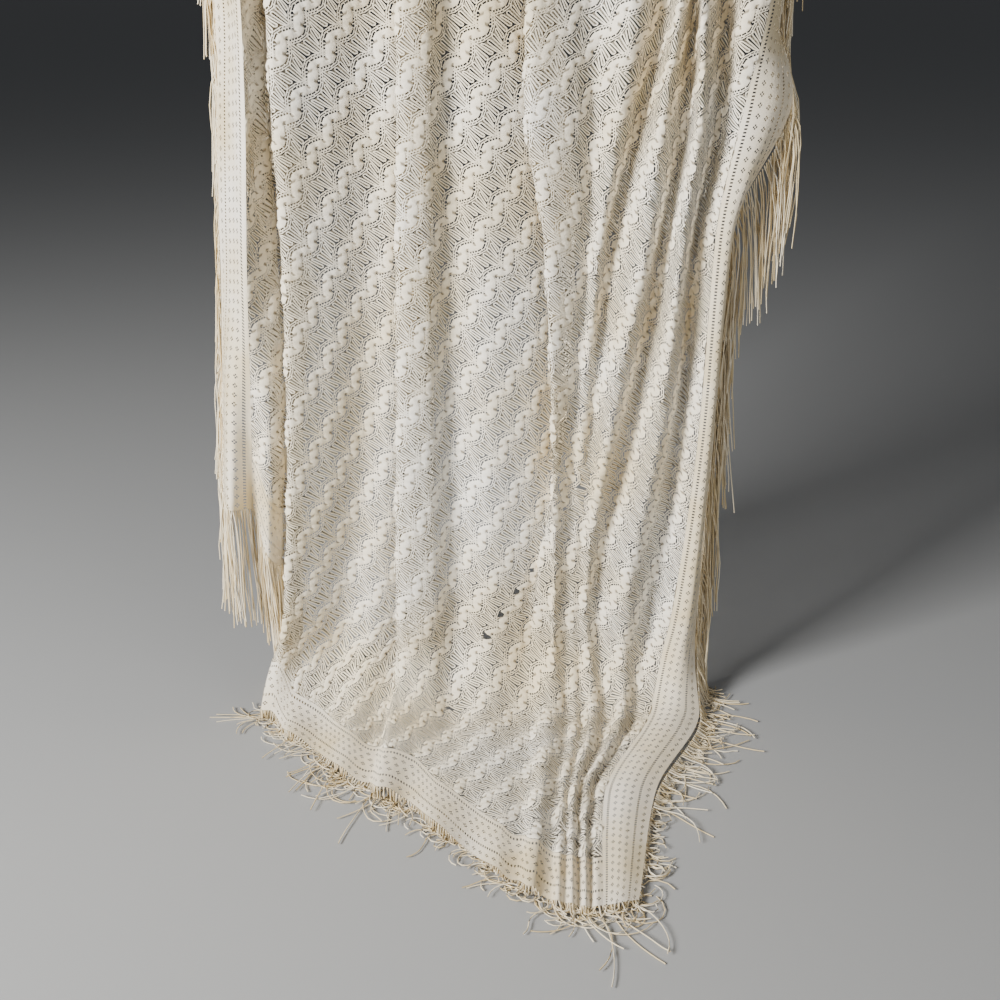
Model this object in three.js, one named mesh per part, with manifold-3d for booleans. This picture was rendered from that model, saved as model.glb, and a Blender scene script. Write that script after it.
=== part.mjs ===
// A rectangular lace shawl with a border and a knotted fringe on its four sides,
// draped askew over a round wooden rod so that its low corner spreads on the floor.
// Millimetres, +Z up, the viewer at -Y. The origin is the middle of the rod.
import * as THREE from 'three';
import Module from 'manifold-3d';
import { mergeVertices } from 'three/addons/utils/BufferGeometryUtils.js';

const wasm = await Module();
wasm.setup();

// Rod and floor
const ROD_RADIUS = 14;
const ROD_LENGTH = 640;
const ROD_SIDES = 48;
const FLOOR_DROP = 1150;      // from the middle of the rod down to the floor

// Cloth, as it was cut
const CUT_LENGTH = 1570;      // along the fall, borders included
const CLOTH_WALL = 2;
const BORDER_WIDTH = 56;
const SEAM_GAP = 0.3;
const HEADING_GAP = 1.2;
const ROD_SEAT = 0.65;        // from the rod to the inner face of the cloth, at a vertex

// Fringe, knotted into a heading along each edge
const FRINGE_LENGTH = 118;
const HEADING_WIDTH = 4.5;
const ROOT_DEPTH = HEADING_GAP + HEADING_WIDTH * 0.6;
const STRAND_RADIUS = 1.3;
const STRAND_SIDES = 3;
const STRANDS = { bottom: 40, top: 22, left: 26, right: 26 };
const HANGING_ROOT = 26;      // height over the floor above which a strand hangs
const LEAST_FALL = 0.1;       // share of a strand's slant under which it isn't drawn
const STEP_OUT = { drop: 6, off: 2.5, back: 10, onFloor: 10 };
const SIDE_STEPS = [7, 11, 15];
const SIDE_REACH = [30, 42, 54];
const CLEAR_OF_ROD = 28;
// How far the strands of the low end lean to the left where they hang, and reach where they
// lie, by their column along the hem, and the way they point on the floor.
const LEAN = { at: [0, 2, 3, 6, 8, 9], by: [0, 0, 18, 22, 10, 10] };
const HEM_REACH = { at: [10, 14, 17, 19, 21, 31, 33, 35, 38], by: [50, 60, 70, 100, 30, 22, 50, 60, 60] };
const HEM_AHEAD = { x: -0.5, y: -0.85, swing: 0.3, pace: 0.5 };
const SIDE_AHEAD_Y = -0.2;

// How the fall meets the rod and the floor
const WRAP_RADIUS = ROD_RADIUS + ROD_SEAT + CLOTH_WALL / 2;
const QUARTER_WRAP = WRAP_RADIUS * Math.PI / 2;
const BEND_RADIUS = 72;
const FLOOR_SEAT = CLOTH_WALL / 2 + 0.05;
const BEND_START = FLOOR_DROP - FLOOR_SEAT - BEND_RADIUS;
const BEND_END = BEND_START + BEND_RADIUS * Math.PI / 2;
const SPREAD_ON_ROD = 560;    // width that the bunched cloth takes along the rod

// The turning lines of the folds, from the left edge to the right one.
// x, out: place across and distance in front of the rod's front face, at each drop of LEVELS.
// turn: the radius of a line where the cloth turns back over itself.
// foot: x and height where the cloth reaches the floor. hem: x, y and height of its end there,
// or for the short side, which hangs free, the drop of its end. draw: how much nearer than
// half its way to the hem a fold is when it is half-way over the floor.
const LEVELS = [525, 600, 710, 870, 1040];
const FOOT = 1170;
const LEAST_FLOOR = 12;       // least length that a fold has past its foot
const FOLDS = [
  { name: 'left_edge', x: [-227, -231, -238, -248, -261], out: [-7, -7, -7, -7, -3], drop: 944 },
  { name: 'left_middle', x: [-211, -215, -222, -232, -244], out: [17, 19, 21, 30, 43], drop: 946 },
  { name: 'left_seam', x: [-197, -199, -206, -217, -231], out: [45, 45, 43, 23, 3], drop: 955 },
  { name: 'strip_crest', x: [-193, -195, -198, -202, -211], out: [25, 25, 27, 31, 35], drop: 992 },
  { name: 'strip_turn', x: [-187, -188, -187, -191, -203], out: [13, 13, 13, 13, 13], turn: 3, drop: 1008 },
  { name: 'tuck_left', x: [-204, -204, -202, -204, -213], out: [0, 0, 0, 0, 0], turn: 3, drop: 1050 },
  { name: 'tuck_right', x: [-174, -170, -160, -176, -186], out: [-8, -8, -8, -8, -8], turn: 3, drop: 1118 },
  { name: 'panel_fold', x: [-180, -181, -180, -184, -197], out: [31, 31, 31, 33, 37], turn: 4,
    foot: [-217, 9], hem: [-213, -68, 3] },
  { name: 'panel_swell', x: [-138, -141, -144, -153, -175], out: [23, 23, 23, 25, 29],
    foot: [-196, 9], hem: [-194, -100, 8] },
  { name: 'shade_valley', x: [-99, -101, -104, -112, -140], out: [5, 5, 5, 3, 5],
    foot: [-163, 3], hem: [-167, -121, 2] },
  { name: 'shade_lip', x: [-85, -87, -92, -99, -116], out: [6, 6, 6, 6, 9],
    foot: [-132, 9], hem: [-136, -161, 9] },
  { name: 'bright_back', x: [-55, -56, -57, -59, -63], out: [-4, -4, -4, -4, -3], turn: 3,
    foot: [-108, 3], hem: [-114, -176, 4] },
  { name: 'bright_front', x: [-80, -82, -86, -90, -95], out: [26, 26, 26, 28, 30], turn: 3,
    foot: [-96, 17], hem: [-100, -197, 14] },
  { name: 'bright_end', x: [-57, -59, -61, -62, -62], out: [29, 29, 29, 31, 31],
    foot: [-69, 15], hem: [-78, -202, 5] },
  { name: 'bright_side', x: [-42, -44, -45, -46, -45], out: [11, 11, 11, 11, 13],
    foot: [-46, 5], hem: [-56, -238, 12] },
  { name: 'middle_swell', x: [-14, -13, -12, -10, -7], out: [19, 19, 19, 21, 23],
    foot: [-12, 12], hem: [-24, -270, 3] },
  { name: 'middle_valley', x: [11, 15, 24, 26, 20], out: [11, 11, 11, 11, 15],
    foot: [13, 5], hem: [-2, -296, 8] },
  { name: 'ridge_back', x: [46, 56, 64, 59, 32], out: [-4, -4, -3, 3, 13], turn: 3,
    foot: [27, 4], hem: [11, -307, 5] },
  { name: 'ridge_front', x: [20, 19, 36, 45, 49], out: [25, 26, 26, 26, 26], turn: 3,
    foot: [44, 14], hem: [23, -320, 10] },
  { name: 'ridge_end', x: [50, 61, 65, 59, 57], out: [21, 21, 19, 19, 21],
    foot: [55, 11], hem: [31, -323, 4], draw: 0.05 },
  { name: 'crease_one', x: [74, 75, 74, 66, 63], out: [9, 9, 11, 13, 19],
    foot: [62, 6], hem: [38, -327, 3], draw: 0.1 },
  { name: 'swell_one', x: [105, 98, 82, 73, 68], out: [23, 23, 21, 17, 20],
    foot: [69, 8], hem: [43, -335, 9], draw: 0.15 },
  { name: 'beige_valley', x: [130, 118, 93, 81, 73], out: [-3, -3, 1, 11, 19],
    foot: [77, 4], hem: [48, -333, 5], draw: 0.2 },
  { name: 'slant_ridge', x: [139, 130, 121, 95, 78], out: [31, 31, 31, 29, 23],
    foot: [86, 12], hem: [53, -338, 9], draw: 0.25 },
  { name: 'slant_valley', x: [155, 152, 138, 117, 88], out: [-1, -1, 1, 3, 11],
    foot: [98, 3], hem: [58, -334, 3], draw: 0.3 },
  { name: 'side_ridge', x: [156, 158, 149, 138, 115], out: [35, 35, 35, 33, 29],
    foot: [114, 14], hem: [63, -340, 8], draw: 0.32 },
  { name: 'side_valley', x: [181, 182, 167, 162, 146], out: [-3, -3, -1, 1, 5],
    foot: [126, 4], hem: [67, -335, 3], draw: 0.33 },
  { name: 'side_swell', x: [190, 188, 171, 166, 153], out: [29, 17, 13, 13, 14],
    foot: [132, 8], hem: [71, -339, 7], draw: 0.33 },
  { name: 'right_seam', x: [209, 196, 178, 174, 161], out: [25, 20, 23, 23, 21],
    foot: [140, 10], hem: [76, -337, 6], draw: 0.33 },
  { name: 'right_middle', x: [221, 214, 187, 181, 173], out: [7, 19, 27, 27, 29],
    foot: [163, 15], hem: [90, -336, 8], draw: 0.27 },
  { name: 'right_edge', x: [222, 238, 196, 191, 188], out: [-21, -1, -7, -11, -5],
    foot: [186, 7], hem: [104, -328, 4], draw: 0.17 },
];
// A line that turns back becomes two, one on each side of its turn.
const RAILS = FOLDS.flatMap((fold, i) => {
  if (!fold.turn) return [fold];
  const onward = Math.sign(FOLDS[i + 1].out[0] - FOLDS[i - 1].out[0]);
  return [-1, 1].map((side) => ({
    ...fold,
    out: fold.out.map((value) => value + side * onward * fold.turn),
    foot: fold.foot && [fold.foot[0] + side * fold.turn, fold.foot[1]],
    hem: fold.hem && [fold.hem[0] + side * fold.turn / 2, fold.hem[1], fold.hem[2]],
  }));
});
const LAST = RAILS.length - 1;
const LEFT_SEAM = RAILS.findIndex((rail) => rail.name === 'left_seam');
const RIGHT_SEAM = RAILS.findIndex((rail) => rail.name === 'right_seam');

// Grid of the cloth: columns between two turning lines, and rows along the fall
const COLUMNS_PER_FOLD = 2;
const COLUMN_STEP = 1 / COLUMNS_PER_FOLD;
const HANGING_ROWS = [0.15, 0.32, 0.48, 0.565, 0.65, 0.79, 0.9, 1];
const LYING_ROWS = [0.06, 0.14, 0.22, 0.32, 0.5, 0.75, 1];
const BORDER_ROWS = [0.33, 0.67, 1];
const KNEE_DROP = BEND_START - 6;
const LEAST_LYING = 75;       // length that the lying rows take on a column with no floor stretch
const BACK_ROWS = [0.25, 0.43, 0.62, 1];
const WRAP_STEPS = 4;

// A smooth value along a short table that never swings past its own entries.
function along(stops, values, at) {
  const last = stops.length - 1;
  const slope = (i) => (values[i + 1] - values[i]) / (stops[i + 1] - stops[i]);
  const tangent = (i) => {
    if (i === 0) return slope(0);
    if (i === last) return slope(last - 1);
    const before = slope(i - 1);
    const after = slope(i);
    return before * after <= 0 ? 0 : 2 * before * after / (before + after);
  };
  if (at <= stops[0]) return values[0] + Math.max(at - stops[0], 0) * slope(0);
  if (at >= stops[last]) return values[last] + (at - stops[last]) * slope(last - 1);
  let i = 0;
  while (at > stops[i + 1]) i += 1;
  const span = stops[i + 1] - stops[i];
  const t = (at - stops[i]) / span;
  return (2 * t ** 3 - 3 * t ** 2 + 1) * values[i] + (t ** 3 - 2 * t ** 2 + t) * span * tangent(i)
    + (3 * t ** 2 - 2 * t ** 3) * values[i + 1] + (t ** 3 - t ** 2) * span * tangent(i + 1);
}

// A curve through points given by their number, straight past the two ends. Its speed follows
// the distance between the points, so that it doesn't loop at a tight turn.
function across(point, q) {
  const i = Math.min(Math.max(Math.floor(q), 0), LAST - 1);
  const b = point(i);
  const c = point(i + 1);
  const chord = c.clone().sub(b);
  const span = chord.length();
  const easeBetween = (before, middle, after) => {
    const first = middle.clone().sub(before);
    const second = after.clone().sub(middle);
    const d1 = first.length();
    const d2 = second.length();
    return first.multiplyScalar(d2 / d1).add(second.multiplyScalar(d1 / d2)).divideScalar(d1 + d2);
  };
  const start = i > 0 ? easeBetween(point(i - 1), b, c) : chord.clone().divideScalar(span);
  const end = i + 2 <= LAST ? easeBetween(b, c, point(i + 2)) : chord.clone().divideScalar(span);
  if (q < 0) return b.addScaledVector(start, q * span);
  if (q > LAST) return c.addScaledVector(end, (q - LAST) * span);
  const t = q - i;
  return b.multiplyScalar(2 * t ** 3 - 3 * t ** 2 + 1)
    .addScaledVector(start, (t ** 3 - 2 * t ** 2 + t) * span)
    .addScaledVector(c, 3 * t ** 2 - 2 * t ** 3)
    .addScaledVector(end, (t ** 3 - t ** 2) * span);
}

// The cloth's own coordinate across: its length along the section at the first level.
const cut = [0];
for (let i = 1; i <= LAST; i += 1) {
  const step = Math.hypot(RAILS[i].x[0] - RAILS[i - 1].x[0], RAILS[i].out[0] - RAILS[i - 1].out[0]);
  cut.push(cut[i - 1] + step);
}

// On the rod the cloth is bunched in low ripples, whose deepest valleys touch the rod.
const RIPPLE_HEIGHT = 18;
const lowest = Math.min(...RAILS.slice(0, -1).map((rail) => rail.out[0]));
const highest = Math.max(...RAILS.map((rail) => rail.out[0]));
const lines = RAILS.map((rail, i) => {
  const onRod = (cut[i] / cut[LAST] - 0.5) * SPREAD_ON_ROD;
  const ripple = Math.max(0, (rail.out[0] - lowest) / (highest - lowest)) * RIPPLE_HEIGHT;
  const end = rail.hem ? BEND_END - WRAP_RADIUS - BEND_RADIUS - rail.hem[1] : rail.drop;
  const stops = [0, ...LEVELS];
  const x = [onRod, ...rail.x];
  const out = [ripple, ...rail.out];
  if (rail.hem) {
    const stop = Math.max(end, FOOT + LEAST_FLOOR);
    const drawn = 0.5 + (rail.draw ?? 0);
    stops.push(FOOT, (FOOT + stop) / 2, stop);
    x.push(rail.foot[0], rail.foot[0] + drawn * (rail.hem[0] - rail.foot[0]), rail.hem[0]);
    out.push(rail.foot[1], (rail.foot[1] + rail.hem[2]) / 2, rail.hem[2]);
  }
  return { stops, x, out, end };
});
const hemDrop = (q) => across((i) => new THREE.Vector2(cut[i], lines[i].end), q).y;
const backDrop = (q) => CUT_LENGTH - 2 * QUARTER_WRAP - hemDrop(q);

// Where the fall runs: over the rod, straight down, round a bend and forward on the floor.
// drop is the length from the rod's front face, and below zero the cloth goes over the rod.
function fall(drop) {
  if (drop < -QUARTER_WRAP) {
    const turn = Math.min((-drop - QUARTER_WRAP) / WRAP_RADIUS, Math.PI / 2);
    const rest = Math.max(-drop - 2 * QUARTER_WRAP, 0);
    return { y: WRAP_RADIUS * Math.sin(turn), z: WRAP_RADIUS * Math.cos(turn) - rest,
      ny: Math.sin(turn), nz: Math.cos(turn) };
  }
  if (drop < 0) {
    const turn = -drop / WRAP_RADIUS;
    return { y: -WRAP_RADIUS * Math.cos(turn), z: WRAP_RADIUS * Math.sin(turn),
      ny: -Math.cos(turn), nz: Math.sin(turn) };
  }
  const turn = Math.min(Math.max(drop - BEND_START, 0) / BEND_RADIUS, Math.PI / 2);
  const rest = Math.max(drop - BEND_END, 0);
  return {
    y: -WRAP_RADIUS - BEND_RADIUS * (1 - Math.cos(turn)) - rest,
    z: -Math.min(drop, BEND_START) - BEND_RADIUS * Math.sin(turn),
    ny: -Math.cos(turn), nz: Math.sin(turn),
  };
}

// A point of the middle of the cloth at column q and length drop from the rod's front face.
const BACK_CLEARANCE = 12;    // how far the deepest folds of the back stretch leave the rod
function cloth(q, drop) {
  const back = Math.max(-drop - 2 * QUARTER_WRAP, 0);
  const level = back > 0 ? back : Math.max(drop, 0);
  const section = across((i) => new THREE.Vector2(
    along(lines[i].stops, lines[i].x, level),
    along(lines[i].stops, lines[i].out, level),
  ), q);
  const lift = BACK_CLEARANCE * Math.min(back / LEVELS[0], 1);
  const out = level < ROD_RADIUS ? Math.max(section.y, 0) : section.y + lift;
  const path = fall(drop);
  return new THREE.Vector3(section.x, path.y + out * path.ny, path.z + out * path.nz);
}

const PROBE = 0.5;            // along the fall
const COLUMN_PROBE = 0.02;
function alongColumn(q, drop) {
  return cloth(q, drop + PROBE).sub(cloth(q, drop - PROBE)).normalize();
}
function acrossColumns(q, drop) {
  return cloth(q + COLUMN_PROBE, drop).sub(cloth(q - COLUMN_PROBE, drop)).divideScalar(2 * COLUMN_PROBE);
}
function outward(q, drop) {
  const here = cloth(q, drop);
  const before = here.clone().sub(cloth(q - COLUMN_STEP, drop)).normalize();
  const after = cloth(q + COLUMN_STEP, drop).sub(here).normalize();
  return alongColumn(q, drop).cross(before.add(after)).normalize();
}
const columnStep = (q, drop, length) => length / acrossColumns(q, drop).length();

// A closed solid from indexed corners and faces, turned so that its faces point out.
function closed(corners, faces) {
  let volume = 0;
  for (const [a, b, c] of faces) volume += corners[a].dot(corners[b].clone().cross(corners[c]));
  const turned = volume < 0 ? faces.map(([a, b, c]) => [a, c, b]) : faces;
  const geometry = new THREE.BufferGeometry();
  const positions = corners.flatMap((p) => [p.x, p.y, p.z]);
  geometry.setAttribute('position', new THREE.Float32BufferAttribute(positions, 3));
  geometry.setIndex(turned.flat());
  return geometry;
}

// A wall of the cloth's thickness round a grid of [q, drop] places.
function wall(grid) {
  const rows = grid.length;
  const columns = grid[0].length;
  const corners = [];
  for (const side of [-1, 1]) {
    for (const row of grid) {
      for (const [q, drop] of row) {
        corners.push(cloth(q, drop).addScaledVector(outward(q, drop), side * CLOTH_WALL / 2));
      }
    }
  }
  const inner = (r, c) => r * columns + c;
  const outer = (r, c) => rows * columns + inner(r, c);
  const faces = [];
  const quad = (a, b, c, d) => faces.push([a, b, c], [a, c, d]);
  for (let r = 0; r + 1 < rows; r += 1) {
    for (let c = 0; c + 1 < columns; c += 1) {
      quad(inner(r, c), inner(r, c + 1), inner(r + 1, c + 1), inner(r + 1, c));
      quad(outer(r, c), outer(r + 1, c), outer(r + 1, c + 1), outer(r, c + 1));
    }
    quad(inner(r, 0), inner(r + 1, 0), outer(r + 1, 0), outer(r, 0));
    quad(inner(r, columns - 1), outer(r, columns - 1), outer(r + 1, columns - 1), inner(r + 1, columns - 1));
  }
  for (let c = 0; c + 1 < columns; c += 1) {
    quad(inner(0, c), outer(0, c), outer(0, c + 1), inner(0, c + 1));
    quad(inner(rows - 1, c), inner(rows - 1, c + 1), outer(rows - 1, c + 1), outer(rows - 1, c));
  }
  return closed(corners, faces);
}

// Columns between two turning lines, and a grid whose rows are given as drops for each column.
function columnsBetween(first, last) {
  const count = Math.round((last - first) * COLUMNS_PER_FOLD);
  return Array.from({ length: count + 1 }, (_, i) => first + (last - first) * i / count);
}
const gridOf = (columns, drops) => drops.map((drop) => columns.map((q) => [q, drop(q)]));

// The same, but its two outer columns stop half a seam short of their seams.
function insideSeams(columns, drops) {
  const shift = columns.map((q, c) => (c === 0 ? 1 : 0) - (c === columns.length - 1 ? 1 : 0));
  return drops.map((drop) => columns.map((q, c) => {
    const at = q + shift[c] * columnStep(q, drop(q), SEAM_GAP / 2);
    return [at, drop(at)];
  }));
}

const frontSeam = (q) => hemDrop(q) - BORDER_WIDTH;
const backSeam = (q) => -(backDrop(q) + 2 * QUARTER_WRAP - BORDER_WIDTH);
const wrapDrops = Array.from({ length: WRAP_STEPS + 1 }, (_, i) => -QUARTER_WRAP * (1 - i / WRAP_STEPS));
const overFront = wrapDrops.map((drop) => () => drop);
const overBack = wrapDrops.map((drop) => () => -2 * QUARTER_WRAP - drop).reverse();
const knee = (q) => Math.min(KNEE_DROP, frontSeam(q) - LEAST_LYING);
const downFront = (stop) => [
  ...HANGING_ROWS.map((share) => (q) => share * knee(q)),
  ...LYING_ROWS.map((share) => (q) => knee(q) + share * (stop(q) - knee(q))),
];
const downBorder = BORDER_ROWS.map((share) => (q) => frontSeam(q) + share * BORDER_WIDTH);
const downBack = (stop) => BACK_ROWS.map((share) => (q) => -2 * QUARTER_WRAP
  + share * (stop(q) + 2 * QUARTER_WRAP));

const CREAM = 0xe9e0cc;
const IVORY = 0xefe8d8;
const BEECH = 0xb98d5e;
const object = new THREE.Group();
function add(name, geometry, color, roughness) {
  const material = new THREE.MeshStandardMaterial({ color, roughness, metalness: 0 });
  const mesh = new THREE.Mesh(geometry, material);
  mesh.name = name;
  object.add(mesh);
  return mesh;
}

// The rod: one turned dowel with flat ends.
const rod = add('rod', new THREE.CylinderGeometry(ROD_RADIUS, ROD_RADIUS, ROD_LENGTH, ROD_SIDES), BEECH, 0.5);
rod.rotation.z = Math.PI / 2;

// The lace panel, in the stretch in front of the rod and the one behind it.
const lace = columnsBetween(LEFT_SEAM, RIGHT_SEAM);
const halfSeam = SEAM_GAP / 2;
const frontDrops = [() => -QUARTER_WRAP + halfSeam, ...overFront.slice(1),
  ...downFront((q) => frontSeam(q) - halfSeam)];
add('panel_front', wall(insideSeams(lace, frontDrops)), CREAM, 0.85);
const backDrops = [...downBack((q) => backSeam(q) + halfSeam).reverse(),
  ...overBack.slice(0, -1), () => -QUARTER_WRAP - halfSeam];
add('panel_back', wall(insideSeams(lace, backDrops)), CREAM, 0.85);

// The end borders, sewn to the lace between the two side borders.
const bottomDrops = [(q) => frontSeam(q) + halfSeam, ...downBorder];
add('border_bottom', wall(insideSeams(lace, bottomDrops)), IVORY, 0.85);
const topDrops = [(q) => -2 * QUARTER_WRAP - backDrop(q), (q) => backSeam(q) - halfSeam];
add('border_top', wall(insideSeams(lace, topDrops)), IVORY, 0.85);

// The side borders run from hem to hem, over the rod.
const wholeFall = [(q) => -2 * QUARTER_WRAP - backDrop(q), ...downBack(backSeam).reverse(),
  ...overBack, ...overFront.slice(1), ...downFront(frontSeam), ...downBorder];
const leftColumns = columnsBetween(0, LEFT_SEAM);
const rightColumns = columnsBetween(RIGHT_SEAM, LAST);
add('border_left', wall(gridOf(leftColumns, wholeFall)), IVORY, 0.85);
add('border_right', wall(gridOf(rightColumns, wholeFall)), IVORY, 0.85);

// The fringe
const FLOOR_Z = -FLOOR_DROP;
const LYING_Z = FLOOR_Z + STRAND_RADIUS + 0.4;

// One strand through its points.
function strand(points) {
  const corners = [];
  points.forEach((point, i) => {
    const before = points[Math.max(i - 1, 0)];
    const after = points[Math.min(i + 1, points.length - 1)];
    const ahead = after.clone().sub(before).normalize();
    const side = new THREE.Vector3(0, 1, 0).cross(ahead).normalize();
    const up = ahead.clone().cross(side);
    for (let k = 0; k < STRAND_SIDES; k += 1) {
      const angle = 2 * Math.PI * k / STRAND_SIDES;
      corners.push(point.clone().addScaledVector(side, STRAND_RADIUS * Math.cos(angle))
        .addScaledVector(up, STRAND_RADIUS * Math.sin(angle)));
    }
  });
  const last = corners.length - STRAND_SIDES;
  const faces = [[0, 1, 2], [last, last + 2, last + 1]];
  for (let base = 0; base < last; base += STRAND_SIDES) {
    for (let k = 0; k < STRAND_SIDES; k += 1) {
      const next = (k + 1) % STRAND_SIDES;
      faces.push([base + k, base + STRAND_SIDES + k, base + STRAND_SIDES + next]);
      faces.push([base + k, base + STRAND_SIDES + next, base + next]);
    }
  }
  return closed(corners, faces);
}

const WELD = 1e-3;
function toManifold(geometry) {
  const merged = mergeVertices(geometry, WELD);
  return new wasm.Manifold(new wasm.Mesh({
    numProp: 3,
    vertProperties: new Float32Array(merged.attributes.position.array),
    triVerts: new Uint32Array(merged.index.array),
  }));
}

// The heading with its strands, as one solid.
function fuse(heading, strands) {
  let solid = toManifold(heading);
  for (const points of strands) solid = solid.add(toManifold(strand(points)));
  const { vertProperties, triVerts } = solid.getMesh();
  const geometry = new THREE.BufferGeometry();
  geometry.setAttribute('position', new THREE.Float32BufferAttribute(vertProperties, 3));
  geometry.setIndex(Array.from(triVerts));
  return geometry;
}

// Places evenly spread along a line of points, each with its own column or drop.
function spread(line, count) {
  const lengths = [0];
  for (let i = 1; i < line.length; i += 1) {
    lengths.push(lengths[i - 1] + line[i].at.distanceTo(line[i - 1].at));
  }
  return Array.from({ length: count }, (_, k) => {
    const target = lengths[lengths.length - 1] * (k + 0.5) / count;
    let i = 0;
    while (lengths[i + 1] < target) i += 1;
    const share = (target - lengths[i]) / (lengths[i + 1] - lengths[i]);
    return {
      at: line[i].at.clone().lerp(line[i + 1].at, share),
      value: line[i].value + share * (line[i + 1].value - line[i].value),
    };
  });
}

// A strand that steps aside from its root and falls, at most to the floor.
function falling(root, aside, slant) {
  const start = root.clone().add(aside);
  const end = start.clone().add(slant);
  end.z = start.z - FRINGE_LENGTH + aside.length();
  if (end.z >= LYING_Z) return [root, start, end];
  const share = (start.z - LYING_Z) / (start.z - end.z);
  const landing = start.clone().lerp(end, share);
  return share > LEAST_FALL ? [root, start, landing] : [root, start];
}

// A strand that comes down to the floor beside its root and runs on over it.
function lying(root, ahead, reach) {
  const near = root.clone().addScaledVector(ahead, STEP_OUT.onFloor);
  near.z = LYING_Z;
  return [root, near, near.clone().addScaledVector(ahead, reach)];
}

const hangs = (root) => root.z > FLOOR_Z + HANGING_ROOT;
const topHem = (q) => -2 * QUARTER_WRAP - backDrop(q);
const allColumns = columnsBetween(0, LAST);
const plumb = new THREE.Vector3();

const hemHeading = wall(gridOf(allColumns, [(q) => hemDrop(q) + HEADING_GAP,
  (q) => hemDrop(q) + HEADING_GAP + HEADING_WIDTH]));
const hemRoots = allColumns.map((q) => ({ at: cloth(q, hemDrop(q) + ROOT_DEPTH), value: q }));
const hemStrands = spread(hemRoots, STRANDS.bottom).map(({ at: root, value: q }, i) => {
  if (hangs(root)) {
    const lean = new THREE.Vector3(-along(LEAN.at, LEAN.by, q), 0, 0);
    return falling(root, new THREE.Vector3(0, -STEP_OUT.off, -STEP_OUT.drop), lean);
  }
  const x = HEM_AHEAD.x + HEM_AHEAD.swing * Math.sin(HEM_AHEAD.pace * i);
  const ahead = new THREE.Vector3(x, HEM_AHEAD.y, 0).normalize();
  return lying(root, ahead, along(HEM_REACH.at, HEM_REACH.by, q));
});
add('fringe_bottom', fuse(hemHeading, hemStrands), CREAM, 0.6);

const topHeading = wall(gridOf(allColumns, [(q) => topHem(q) - HEADING_GAP - HEADING_WIDTH,
  (q) => topHem(q) - HEADING_GAP]));
const topRoots = allColumns.map((q) => ({ at: cloth(q, topHem(q) - ROOT_DEPTH), value: q }));
const topStrands = spread(topRoots, STRANDS.top).map(({ at: root }) => falling(
  root, new THREE.Vector3(STEP_OUT.off, 0, -STEP_OUT.drop), new THREE.Vector3(0, STEP_OUT.back, 0)));
add('fringe_top', fuse(topHeading, topStrands), CREAM, 0.6);

// side is -1 on the left edge and 1 on the right one. No strand is made on the rod itself.
function sideFringe(name, edge, side, count) {
  const beyond = (drop, length) => edge + side * columnStep(edge, drop, length);
  const drops = wholeFall.map((drop) => drop(edge));
  const heading = drops.map((at) => [
    [beyond(at, SEAM_GAP), at],
    [beyond(at, SEAM_GAP + HEADING_WIDTH), at],
  ]);
  const roots = drops.map((at) => ({ at: cloth(beyond(at, ROOT_DEPTH), at), value: at }));
  const offRod = ({ value }) => Math.abs(value + QUARTER_WRAP) > QUARTER_WRAP + CLEAR_OF_ROD;
  const strands = spread(roots, count).filter(offRod).map(({ at: root, value: drop }, i) => {
    if (!hangs(root)) {
      const ahead = new THREE.Vector3(side, SIDE_AHEAD_Y, 0).normalize();
      return lying(root, ahead, SIDE_REACH[i % SIDE_REACH.length]);
    }
    const step = SIDE_STEPS[i % SIDE_STEPS.length];
    const behind = drop > 0 ? step / 2 : 0;
    return falling(root, new THREE.Vector3(side * step, behind, -STEP_OUT.drop / 2), plumb);
  });
  add(name, fuse(wall(heading), strands), CREAM, 0.6);
}
sideFringe('fringe_left', 0, -1, STRANDS.left);
sideFringe('fringe_right', LAST, 1, STRANDS.right);

export default object;
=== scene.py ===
"""A fringed lace shawl draped askew over a wooden rod, with its low corner on the floor.

Metres, +Z up, the viewer at -Y, the origin in the middle of the rod. Lengths named _mm are
millimetres, and place() turns them into points in metres.
"""
import math

import bpy
import numpy as np
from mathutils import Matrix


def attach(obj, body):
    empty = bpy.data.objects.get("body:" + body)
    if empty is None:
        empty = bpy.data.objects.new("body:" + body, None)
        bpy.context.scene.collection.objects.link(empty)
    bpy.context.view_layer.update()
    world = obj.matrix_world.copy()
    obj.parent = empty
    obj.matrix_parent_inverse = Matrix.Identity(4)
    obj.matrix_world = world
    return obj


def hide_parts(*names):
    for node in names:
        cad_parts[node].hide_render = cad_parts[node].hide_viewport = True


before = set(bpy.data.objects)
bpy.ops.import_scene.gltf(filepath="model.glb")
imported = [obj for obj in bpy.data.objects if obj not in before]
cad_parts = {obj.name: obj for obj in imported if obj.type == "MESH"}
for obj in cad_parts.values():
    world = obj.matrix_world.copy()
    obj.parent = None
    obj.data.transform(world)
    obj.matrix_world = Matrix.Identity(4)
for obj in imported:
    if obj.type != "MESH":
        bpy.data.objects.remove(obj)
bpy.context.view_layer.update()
rng = np.random.default_rng(7)


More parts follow.
